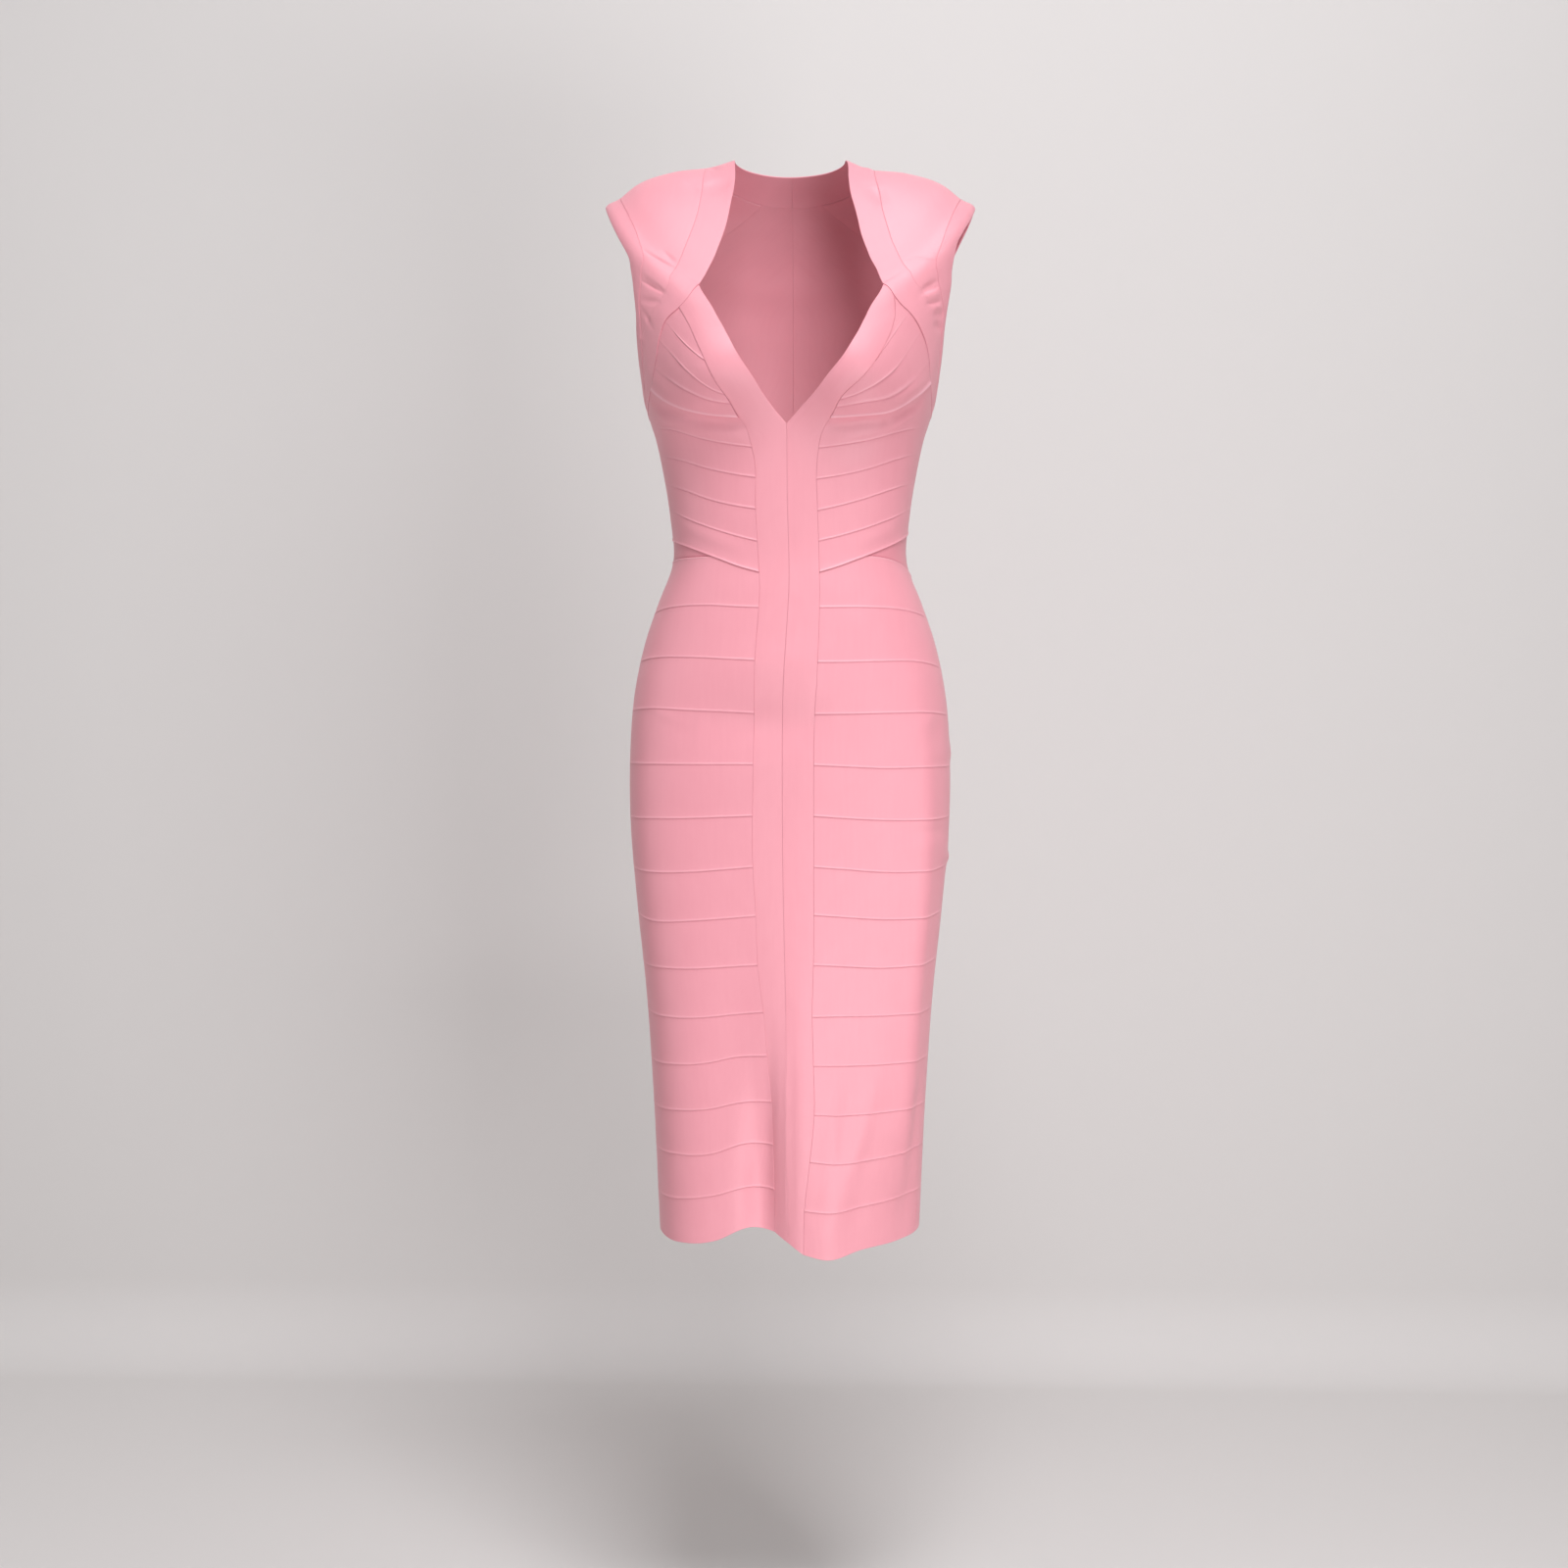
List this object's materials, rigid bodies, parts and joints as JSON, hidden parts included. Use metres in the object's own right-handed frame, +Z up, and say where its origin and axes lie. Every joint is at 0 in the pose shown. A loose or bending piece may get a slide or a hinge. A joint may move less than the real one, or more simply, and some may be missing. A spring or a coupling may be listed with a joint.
{
  "type": "bodycon dress",
  "caption": "Knee-length sleeveless bodycon dress of pink bandage knit, hollow as worn, with a V neckline, wide shoulder straps, bust cups and a folded hem.",
  "frame": {"origin": "between the shoulders, at the height where the wearer's shoulders carry the dress", "axes": "+Z up, -Y the way the wearer faces, +X the wearer's left"},
  "size_m": [0.3812, 0.2504, 1.1124],
  "materials": {
    "centre_band": "matt satin fine rib knit, dusty pink",
    "cup": "matt satin fine rib knit, dusty pink",
    "bodice_front": "matt satin fine rib knit, dusty pink",
    "waist_insert": "matt satin fine rib knit, dusty pink",
    "skirt_front": "matt satin fine rib knit, dusty pink",
    "bodice_back": "matt satin fine rib knit, dusty pink",
    "skirt_back": "matt satin fine rib knit, dusty pink",
    "neck_band": "matt satin fine rib knit, dusty pink",
    "shoulder_yoke": "matt satin fine rib knit, dusty pink",
    "armhole_band": "matt satin fine rib knit, dusty pink"
  },
  "bodies": {
    "root": {"centre_band_right": "centre_band", "centre_band_left": "centre_band", "cup_right": "cup", "cup_left": "cup", "bodice_front_right": "bodice_front", "bodice_front_left": "bodice_front", "waist_insert_right": "waist_insert", "waist_insert_left": "waist_insert", "skirt_front_right": "skirt_front", "skirt_front_left": "skirt_front", "bodice_back_right": "bodice_back", "bodice_back_left": "bodice_back", "skirt_back_right": "skirt_back", "skirt_back_left": "skirt_back", "neck_band_right": "neck_band", "neck_band_left": "neck_band", "shoulder_yoke_right": "shoulder_yoke", "shoulder_yoke_left": "shoulder_yoke", "armhole_band_right": "armhole_band", "armhole_band_left": "armhole_band"}
  },
  "joints": []
}
